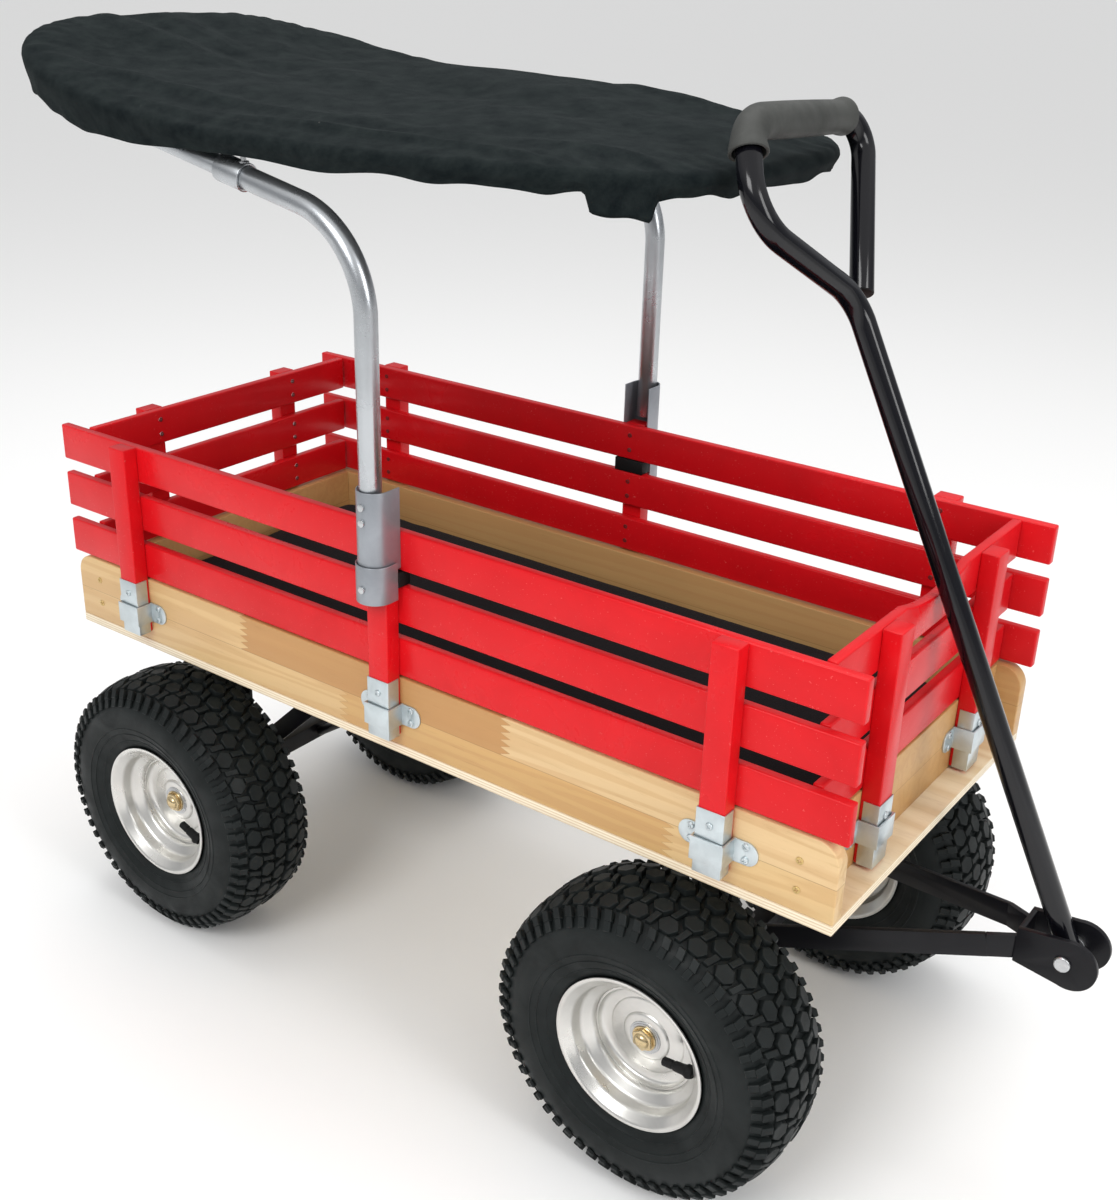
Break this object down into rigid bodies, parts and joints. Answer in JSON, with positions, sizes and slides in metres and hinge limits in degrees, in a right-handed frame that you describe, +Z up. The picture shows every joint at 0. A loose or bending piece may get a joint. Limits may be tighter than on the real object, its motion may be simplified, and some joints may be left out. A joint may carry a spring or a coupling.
{
  "type": "wagon with pull handle",
  "caption": "Wooden stake-sided pull wagon on wide pneumatic tyres, with lift-out racks, a steered front axle, a tilting loop handle and a cloth canopy on bent tubes.",
  "frame": {"origin": "bottom centre of the whole wagon's bounding box at rest, on the floor between the wheels", "axes": "+X forwards to the pull handle, +Y to the wagon's left, +Z up"},
  "size_m": [1.429, 0.624, 1.1896],
  "materials": {
    "clear_wood": "clear varnished birch",
    "bed_cushion": "black cloth over foam",
    "zinc_steel": "zinc plated",
    "black_steel": "semi-gloss black paint",
    "red_rack_paint": "red painted wood, satin",
    "canopy_fabric": "woven cotton cloth",
    "canopy_tube_steel": "silver paint",
    "grey_bracket_paint": "silver-grey paint",
    "black_rubber": "moulded",
    "tyre_rubber": "moulded turf tread",
    "rim_paint": "silver paint",
    "bearing_steel": "bright steel",
    "valve_rubber": "moulded"
  },
  "bodies": {
    "chassis": {"bracket_bolts": "zinc_steel", "bracket_collars": "grey_bracket_paint", "canopy_brackets": "grey_bracket_paint", "canopy_clips": "zinc_steel", "canopy_cover": "canopy_fabric", "canopy_hoop": "canopy_tube_steel", "canopy_struts": "canopy_tube_steel", "canopy_tubes": "canopy_tube_steel", "clamp_pads": "black_rubber", "deck": "clear_wood", "end_board_front": "clear_wood", "end_board_rear": "clear_wood", "floor_pad": "bed_cushion", "front_rack_slats": "red_rack_paint", "front_rack_stakes": "red_rack_paint", "king_bolt": "zinc_steel", "left_rack_slats": "red_rack_paint", "left_rack_stakes": "red_rack_paint", "rack_screws": "zinc_steel", "rack_shoes": "zinc_steel", "rear_axle": "black_steel", "rear_axle_nuts": "zinc_steel", "rear_bolster": "black_steel", "rear_braces": "black_steel", "right_rack_slats": "red_rack_paint", "right_rack_stakes": "red_rack_paint", "side_board_left": "clear_wood", "side_board_right": "clear_wood", "stake_pockets": "zinc_steel", "tube_sleeves": "canopy_tube_steel", "turntable_plate_upper": "black_steel", "wood_screws": "zinc_steel"},
    "rear_rack": {"rear_rack_fittings": "zinc_steel", "rear_rack_slats": "red_rack_paint", "rear_rack_stakes": "red_rack_paint"},
    "steering": {"turntable_plate_lower": "black_steel", "front_bolster": "black_steel", "front_axle": "black_steel", "front_axle_nuts": "zinc_steel", "tongue_bars": "black_steel", "yoke": "black_steel", "handle_pivot_bolt": "zinc_steel"},
    "handle": {"handle_tube": "black_steel", "handle_grip": "black_rubber"},
    "front_right_wheel": {"front_right_tyre": "tyre_rubber", "front_right_rim": "rim_paint", "front_right_hub_bearings": "bearing_steel", "front_right_valve_stem": "valve_rubber"},
    "front_left_wheel": {"front_left_tyre": "tyre_rubber", "front_left_rim": "rim_paint", "front_left_hub_bearings": "bearing_steel", "front_left_valve_stem": "valve_rubber"},
    "rear_right_wheel": {"rear_right_tyre": "tyre_rubber", "rear_right_rim": "rim_paint", "rear_right_hub_bearings": "bearing_steel", "rear_right_valve_stem": "valve_rubber"},
    "rear_left_wheel": {"rear_left_tyre": "tyre_rubber", "rear_left_rim": "rim_paint", "rear_left_hub_bearings": "bearing_steel", "rear_left_valve_stem": "valve_rubber"}
  },
  "joints": [
    {"name": "steering", "type": "hinge", "parent": "chassis", "child": "steering", "pos_m": [0.3215, 0, 0.39], "axis": [0, 0, 1], "range_deg": [-3, 3]},
    {"name": "handle_tilt", "type": "hinge", "parent": "steering", "child": "handle", "pos_m": [0.6785, 0, 0.311], "axis": [0, 1, 0], "range_deg": [0, 125]},
    {"name": "rear_rack_lift", "type": "slide", "parent": "chassis", "child": "rear_rack", "axis": [0, 0, 1], "range_m": [0, 0.085]},
    {"name": "front_right_wheel_spin", "type": "hinge", "parent": "steering", "child": "front_right_wheel", "pos_m": [0.3215, -0.244, 0.184], "axis": [0, 1, 0], "continuous": true},
    {"name": "front_left_wheel_spin", "type": "hinge", "parent": "steering", "child": "front_left_wheel", "pos_m": [0.3215, 0.244, 0.184], "axis": [0, 1, 0], "continuous": true},
    {"name": "rear_right_wheel_spin", "type": "hinge", "parent": "chassis", "child": "rear_right_wheel", "pos_m": [-0.4495, -0.244, 0.184], "axis": [0, 1, 0], "continuous": true},
    {"name": "rear_left_wheel_spin", "type": "hinge", "parent": "chassis", "child": "rear_left_wheel", "pos_m": [-0.4495, 0.244, 0.184], "axis": [0, 1, 0], "continuous": true}
  ]
}
